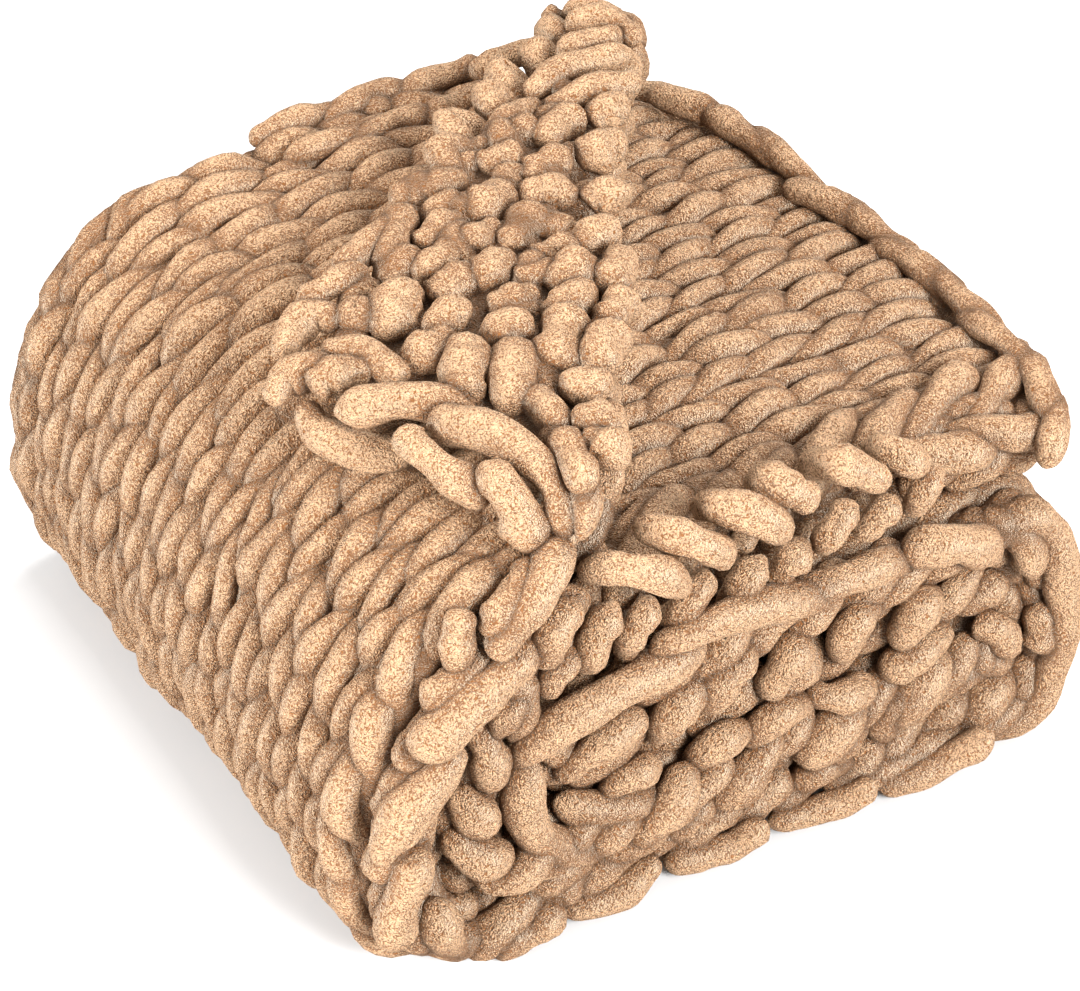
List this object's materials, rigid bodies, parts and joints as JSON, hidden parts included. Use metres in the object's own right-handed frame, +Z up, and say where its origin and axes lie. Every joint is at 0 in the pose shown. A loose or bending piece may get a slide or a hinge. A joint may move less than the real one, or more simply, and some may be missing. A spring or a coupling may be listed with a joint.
{
  "type": "folded chunky knit blanket",
  "caption": "Thick soft knit throw blanket, folded into a layered stack with rounded side folds and one top corner turned back.",
  "frame": {"origin": "centre of the folded stack's box, on the floor", "axes": "+Z up, +Y from the front selvedges to the back selvedges, +X towards the free bind-off edge, away from the large rounded fold"},
  "size_m": [0.5552, 0.5286, 0.3299],
  "materials": {
    "yarn": "fuzzy matte chenille"
  },
  "bodies": {
    "root": {"blanket": "yarn"}
  },
  "joints": []
}
